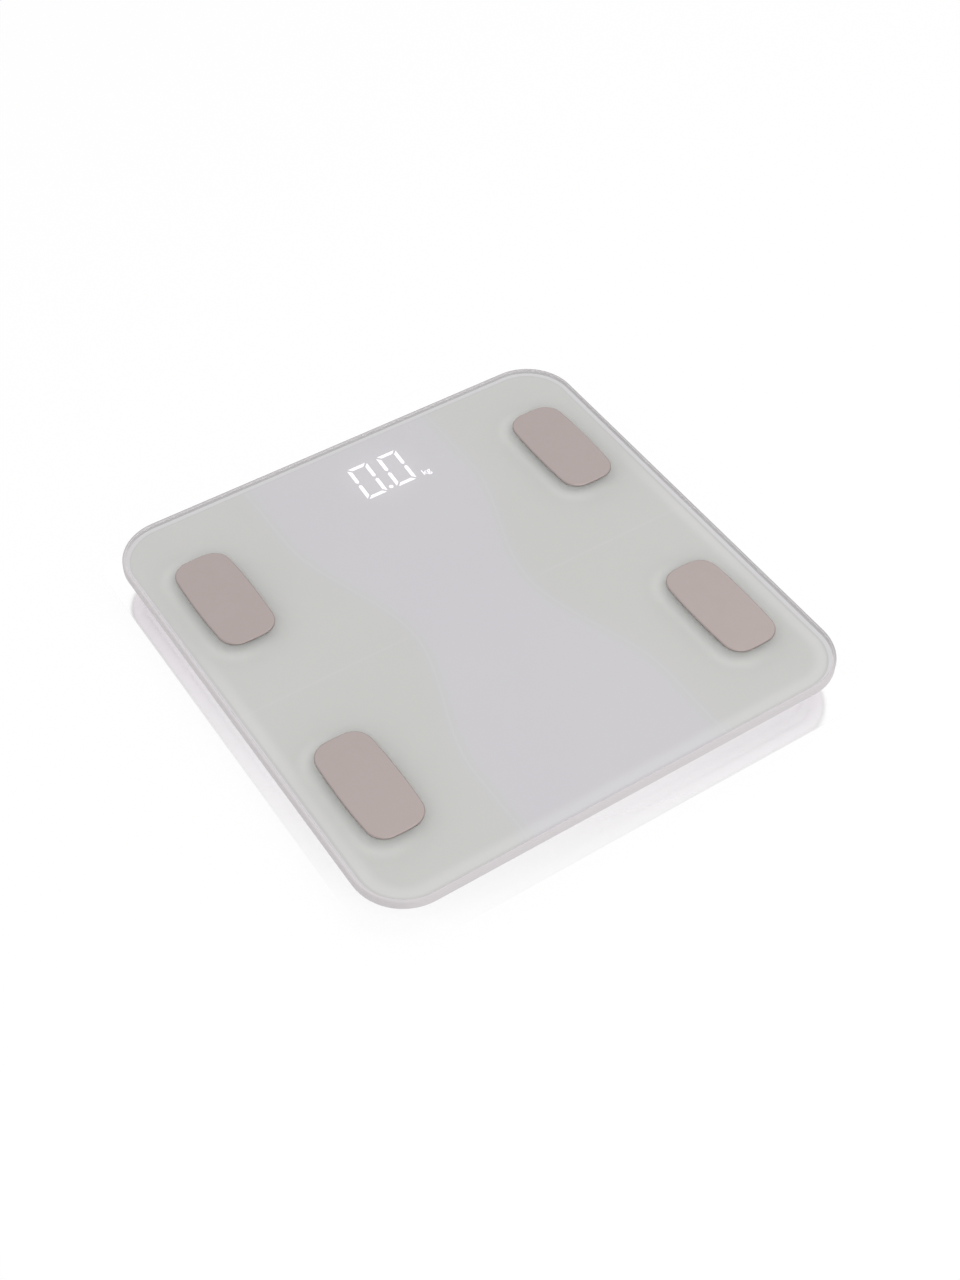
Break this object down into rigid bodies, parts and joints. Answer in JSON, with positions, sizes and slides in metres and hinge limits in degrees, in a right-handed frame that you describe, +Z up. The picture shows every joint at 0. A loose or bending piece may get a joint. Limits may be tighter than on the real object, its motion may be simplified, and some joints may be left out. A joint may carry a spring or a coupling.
{
  "type": "digital bathroom scale",
  "caption": "Square glass digital bathroom scale with raised metal body-fat electrodes, a hidden lit readout, a shallow moulded base and sprung load-cell feet.",
  "frame": {"origin": "on the floor, under the centre of the glass platform", "axes": "+X to the reader's right, +Y towards the display edge, +Z up"},
  "size_m": [0.28, 0.28, 0.0232],
  "materials": {
    "clear_glass": "polished tempered float glass, faint grey-green",
    "white_ink": "screen-printed pale grey ink film, even",
    "foam_tape": "white foam tape",
    "tray_plastic": "white moulded ABS, fine spark texture",
    "electrode_steel": "stainless steel with a warm rose-grey satin coating",
    "foot_plastic": "white moulded ABS",
    "foot_rubber": "matte grey rubber",
    "spring_steel": "nickel-plated spring steel",
    "holder_plastic": "white moulded ABS",
    "sensor_lead": "dark PVC sleeve over three cores",
    "red_lead": "red PVC",
    "nickel_strip": "nickel-plated strip",
    "cell_sleeve": "plain dark sleeve, steel ends",
    "chip_black": "black moulding compound",
    "connector_nylon": "natural nylon",
    "screw_steel": "zinc-plated steel",
    "board_green": "green solder mask",
    "diffuser_film": "milky diffuser film",
    "reflector_white": "white reflector plastic",
    "led_light": "white light-emitting diodes",
    "ribbon_white": "flat flexible cable",
    "clear_adhesive": "thin adhesive film",
    "gauge_amber": "polyimide strain gauge",
    "button_plastic": "grey moulded button",
    "switch_body": "black tact switch body"
  },
  "bodies": {
    "platform": {"base_tray": "tray_plastic", "battery_1": "cell_sleeve", "battery_2": "cell_sleeve", "battery_3": "cell_sleeve", "battery_contacts": "nickel_strip", "battery_leads": "red_lead", "board_chips": "chip_black", "board_connectors": "connector_nylon", "board_screws": "screw_steel", "cell_holder_front_left": "holder_plastic", "cell_holder_front_right": "holder_plastic", "cell_holder_rear_left": "holder_plastic", "cell_holder_rear_right": "holder_plastic", "display_board": "board_green", "display_diffuser": "diffuser_film", "display_gasket": "foam_tape", "display_housing": "reflector_white", "display_leds": "led_light", "display_ribbon": "ribbon_white", "electrode_bonds": "clear_adhesive", "electrode_front_left": "electrode_steel", "electrode_front_right": "electrode_steel", "electrode_leads": "red_lead", "electrode_nuts": "screw_steel", "electrode_rear_left": "electrode_steel", "electrode_rear_right": "electrode_steel", "electrode_studs": "screw_steel", "electrode_terminals": "nickel_strip", "glass_platform": "clear_glass", "holder_screws": "screw_steel", "load_cell_front_left": "spring_steel", "load_cell_front_right": "spring_steel", "load_cell_rear_left": "spring_steel", "load_cell_rear_right": "spring_steel", "main_board": "board_green", "mounting_tape": "foam_tape", "print_film": "white_ink", "sensor_lead_front_left": "sensor_lead", "sensor_lead_front_right": "sensor_lead", "sensor_lead_rear_left": "sensor_lead", "sensor_lead_rear_right": "sensor_lead", "strain_gauges": "gauge_amber", "unit_switch": "switch_body"},
    "battery_door": {"battery_door": "tray_plastic"},
    "unit_button": {"unit_button": "button_plastic", "switch_plunger": "chip_black"},
    "foot_front_left": {"foot_cap_front_left": "foot_plastic", "foot_pad_front_left": "foot_rubber"},
    "foot_front_right": {"foot_cap_front_right": "foot_plastic", "foot_pad_front_right": "foot_rubber"},
    "foot_rear_left": {"foot_cap_rear_left": "foot_plastic", "foot_pad_rear_left": "foot_rubber"},
    "foot_rear_right": {"foot_cap_rear_right": "foot_plastic", "foot_pad_rear_right": "foot_rubber"}
  },
  "joints": [
    {"name": "foot_front_left_press", "type": "slide", "parent": "platform", "child": "foot_front_left", "axis": [0, 0, 1], "range_m": [0, 0.0005], "stiffness_N_per_m": 2500, "springref_m": -0.0036},
    {"name": "foot_front_right_press", "type": "slide", "parent": "platform", "child": "foot_front_right", "axis": [0, 0, 1], "range_m": [0, 0.0005], "stiffness_N_per_m": 2500, "springref_m": -0.0036},
    {"name": "foot_rear_left_press", "type": "slide", "parent": "platform", "child": "foot_rear_left", "axis": [0, 0, 1], "range_m": [0, 0.0005], "stiffness_N_per_m": 2500, "springref_m": -0.0036},
    {"name": "foot_rear_right_press", "type": "slide", "parent": "platform", "child": "foot_rear_right", "axis": [0, 0, 1], "range_m": [0, 0.0005], "stiffness_N_per_m": 2500, "springref_m": -0.0036},
    {"name": "battery_door_swing", "type": "hinge", "parent": "platform", "child": "battery_door", "pos_m": [0, -0.00125, 0.0033], "axis": [1, 0, 0], "range_deg": [0, 90]},
    {"name": "unit_button_press", "type": "slide", "parent": "platform", "child": "unit_button", "axis": [0, 0, 1], "range_m": [0, 0.0006], "stiffness_N_per_m": 2500, "springref_m": -0.0004}
  ]
}
